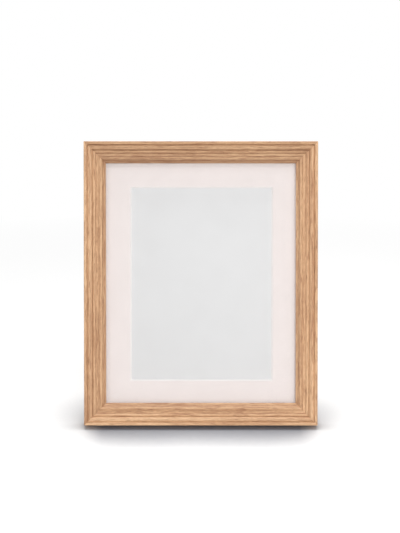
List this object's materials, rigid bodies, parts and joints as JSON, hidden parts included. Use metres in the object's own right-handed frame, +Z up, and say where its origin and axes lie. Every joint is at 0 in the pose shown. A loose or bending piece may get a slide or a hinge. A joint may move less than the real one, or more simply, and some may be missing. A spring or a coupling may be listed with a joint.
{
  "type": "certificate frame",
  "caption": "Oak frame with a stepped moulding, glass, a window mat and a blank sheet, leaning back on a hinged easel strut, with turn buttons and hanging rings on its back.",
  "frame": {"origin": "bottom centre of the whole frame as it stands on its open strut, on the surface", "axes": "+Z up, +Y from the front to the back, +X to the right as its front is seen"},
  "size_m": [0.236, 0.0974, 0.2827],
  "materials": {
    "oak": "open-grained oak, clear matt lacquer",
    "glass": "clear float glass",
    "mat_board": "smooth ivory board with a white core",
    "plain_paper": "blank matt white paper",
    "grey_card": "grey-brown card",
    "fibreboard": "brown medium-density fibreboard",
    "zinc_steel": "bright zinc plate"
  },
  "bodies": {
    "frame": {"bottom_rail": "oak", "top_rail": "oak", "left_rail": "oak", "right_rail": "oak", "corner_v_nails": "zinc_steel", "glazing_pane": "glass", "window_mat": "mat_board", "certificate_sheet": "plain_paper", "filler_card": "grey_card", "backing_board": "fibreboard", "turn_button_screws": "zinc_steel", "hinge_board_leaf": "zinc_steel", "strut_hinge_pin": "zinc_steel", "board_leaf_rivets": "zinc_steel", "portrait_hanger_strap": "zinc_steel", "landscape_hanger_strap": "zinc_steel", "hanger_rivets": "zinc_steel"},
    "easel": {"easel_strut": "fibreboard", "hinge_strut_leaf": "zinc_steel", "strut_leaf_rivets": "zinc_steel"},
    "portrait_ring": {"portrait_hanger_ring": "zinc_steel"},
    "landscape_ring": {"landscape_hanger_ring": "zinc_steel"},
    "button_bottom_left": {"turn_button_bottom_left": "zinc_steel"},
    "button_bottom_right": {"turn_button_bottom_right": "zinc_steel"},
    "button_top_left": {"turn_button_top_left": "zinc_steel"},
    "button_top_right": {"turn_button_top_right": "zinc_steel"},
    "button_left_upper": {"turn_button_left_upper": "zinc_steel"},
    "button_left_lower": {"turn_button_left_lower": "zinc_steel"},
    "button_right_upper": {"turn_button_right_upper": "zinc_steel"},
    "button_right_lower": {"turn_button_right_lower": "zinc_steel"}
  },
  "joints": [
    {"name": "strut_fold", "type": "hinge", "parent": "frame", "child": "easel", "pos_m": [0, 0.01741, 0.18388], "axis": [1, 0, 0], "range_deg": [-23, 0]},
    {"name": "portrait_ring_swing", "type": "hinge", "parent": "frame", "child": "portrait_ring", "pos_m": [0, 0.03549, 0.25709], "axis": [1, 0, 0], "range_deg": [-14, 166]},
    {"name": "landscape_ring_swing", "type": "hinge", "parent": "frame", "child": "landscape_ring", "pos_m": [0.0966, 0.00597, 0.13871], "axis": [0, 0.2419, 0.9703], "range_deg": [-90, 90]},
    {"name": "button_bottom_left_turn", "type": "hinge", "parent": "frame", "child": "button_bottom_left", "pos_m": [-0.062, -0.02856, 0.00757], "axis": [0, 0.9703, -0.2419], "continuous": true},
    {"name": "button_bottom_right_turn", "type": "hinge", "parent": "frame", "child": "button_bottom_right", "pos_m": [0.062, -0.02856, 0.00757], "axis": [0, 0.9703, -0.2419], "continuous": true},
    {"name": "button_top_left_turn", "type": "hinge", "parent": "frame", "child": "button_top_left", "pos_m": [-0.062, 0.03705, 0.27071], "axis": [0, 0.9703, -0.2419], "continuous": true},
    {"name": "button_top_right_turn", "type": "hinge", "parent": "frame", "child": "button_top_right", "pos_m": [0.062, 0.03705, 0.27071], "axis": [0, 0.9703, -0.2419], "continuous": true},
    {"name": "button_left_upper_turn", "type": "hinge", "parent": "frame", "child": "button_left_upper", "pos_m": [-0.1102, 0.02166, 0.209], "axis": [0, 0.9703, -0.2419], "continuous": true},
    {"name": "button_left_lower_turn", "type": "hinge", "parent": "frame", "child": "button_left_lower", "pos_m": [-0.1102, -0.01317, 0.06928], "axis": [0, 0.9703, -0.2419], "continuous": true},
    {"name": "button_right_upper_turn", "type": "hinge", "parent": "frame", "child": "button_right_upper", "pos_m": [0.1102, 0.02166, 0.209], "axis": [0, 0.9703, -0.2419], "continuous": true},
    {"name": "button_right_lower_turn", "type": "hinge", "parent": "frame", "child": "button_right_lower", "pos_m": [0.1102, -0.01317, 0.06928], "axis": [0, 0.9703, -0.2419], "continuous": true}
  ]
}
